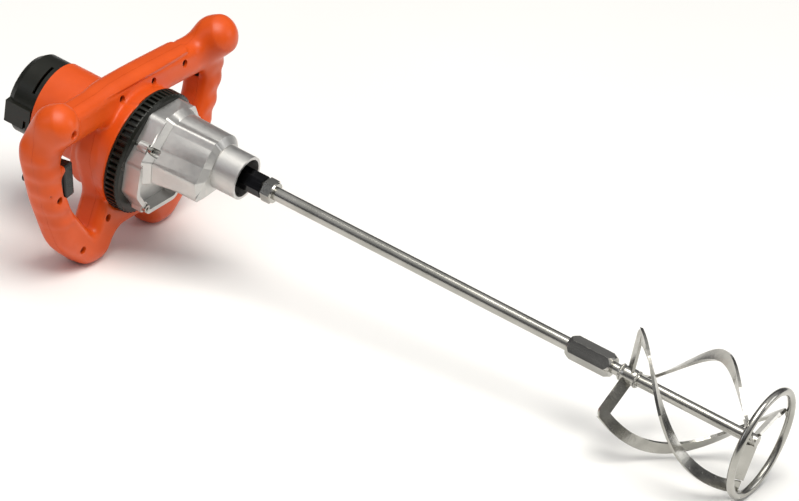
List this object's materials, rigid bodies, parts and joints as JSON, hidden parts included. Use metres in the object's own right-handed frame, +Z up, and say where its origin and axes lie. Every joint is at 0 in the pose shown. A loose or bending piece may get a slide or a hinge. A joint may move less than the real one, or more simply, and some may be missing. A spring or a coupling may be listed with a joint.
{
  "type": "drill paint mixer",
  "caption": "Two-handed electric paddle mixer with a geared motor, trigger and speed wheel, driving a long rod with a bladed ring whisk for paint and mortar.",
  "frame": {"origin": "on the spindle axis at the front rim of the gearbox collar", "axes": "+X along the spindle towards the whisk, +Z up through the crossbar, +Y from the trigger handle to the dial handle"},
  "size_m": [0.874, 0.332, 0.2067],
  "materials": {
    "orange_plastic": "satin moulded nylon, fine texture",
    "black_plastic": "satin moulded nylon",
    "control_plastic": "semi-gloss moulded plastic",
    "cast_aluminium": "bead-blasted casting, machined collar",
    "zinc_steel": "bright zinc plate",
    "black_steel": "black oxide, oiled",
    "screw_steel": "black oxide",
    "bearing_steel": "ground",
    "lamination_steel": "stacked sheet, varnished",
    "copper": "enamelled wire and turned copper",
    "bronze": "sintered bronze",
    "carbon": "pressed carbon",
    "fan_plastic": "glass-filled nylon",
    "seal_rubber": "moulded rubber"
  },
  "bodies": {
    "housing": {"handle_shell_front": "orange_plastic", "handle_shell_rear": "orange_plastic", "handle_screws": "screw_steel", "motor_housing": "orange_plastic", "rear_cap": "black_plastic", "cap_screws": "screw_steel", "vent_ring": "black_plastic", "bearing_plate": "cast_aluminium", "gearbox_housing": "cast_aluminium", "gearbox_screws": "zinc_steel", "stator_core": "lamination_steel", "field_windings": "copper", "brush_holders": "black_plastic", "carbon_brushes": "carbon", "brush_springs": "bearing_steel", "armature_front_bearing": "bearing_steel", "armature_rear_bearing": "bearing_steel", "layshaft_front_bush": "bronze", "layshaft_rear_bush": "bronze", "spindle_front_bearing": "bearing_steel", "spindle_rear_bearing": "bearing_steel", "spindle_seal": "seal_rubber", "trigger_switch": "black_plastic", "trigger_spring": "bearing_steel", "speed_module": "black_plastic", "cord_gland": "seal_rubber"},
    "spindle": {"output_spindle": "black_steel", "output_gear": "bearing_steel", "mixer_rod": "zinc_steel", "rod_nut": "zinc_steel", "coupling_sleeve": "zinc_steel", "whisk_rod": "zinc_steel", "hub_weld": "zinc_steel", "whisk_blade_1": "zinc_steel", "whisk_blade_2": "zinc_steel", "whisk_blade_3": "zinc_steel", "ring_spokes": "zinc_steel", "tip_ring": "zinc_steel"},
    "layshaft": {"layshaft": "bearing_steel", "layshaft_gear": "bearing_steel"},
    "armature": {"armature_shaft": "bearing_steel", "armature_core": "lamination_steel", "armature_windings": "copper", "commutator": "copper", "cooling_fan": "fan_plastic"},
    "trigger": {"trigger": "control_plastic"},
    "lock_button": {"lock_button": "control_plastic"},
    "speed_dial": {"speed_dial": "control_plastic"}
  },
  "joints": [
    {"name": "spindle_spin", "type": "hinge", "parent": "housing", "child": "spindle", "pos_m": [0, 0, 0], "axis": [1, 0, 0], "continuous": true},
    {"name": "layshaft_spin", "type": "hinge", "parent": "housing", "child": "layshaft", "pos_m": [-0.08, -0.02205, -0.01845], "axis": [1, 0, 0], "continuous": true},
    {"name": "armature_spin", "type": "hinge", "parent": "housing", "child": "armature", "pos_m": [-0.175, 0, -0.025], "axis": [1, 0, 0], "continuous": true},
    {"name": "trigger_press", "type": "slide", "parent": "housing", "child": "trigger", "axis": [0.0242, -0.9903, -0.1371], "range_m": [0, 0.006], "stiffness_N_per_m": 400, "springref_m": -0.004},
    {"name": "lock_press", "type": "slide", "parent": "housing", "child": "lock_button", "axis": [0.9848, 0, 0.1736], "range_m": [0, 0.003], "stiffness_N_per_m": 500, "springref_m": -0.003},
    {"name": "speed_dial_turn", "type": "hinge", "parent": "housing", "child": "speed_dial", "pos_m": [-0.15474, 0.134, 0.00985], "axis": [0.9848, 0, 0.1736], "range_deg": [-135, 135]}
  ],
  "couplings": [
    {"joint": "layshaft_spin", "follows": "spindle_spin", "ratio": -4.1111},
    {"joint": "armature_spin", "follows": "spindle_spin", "ratio": 22.905}
  ]
}
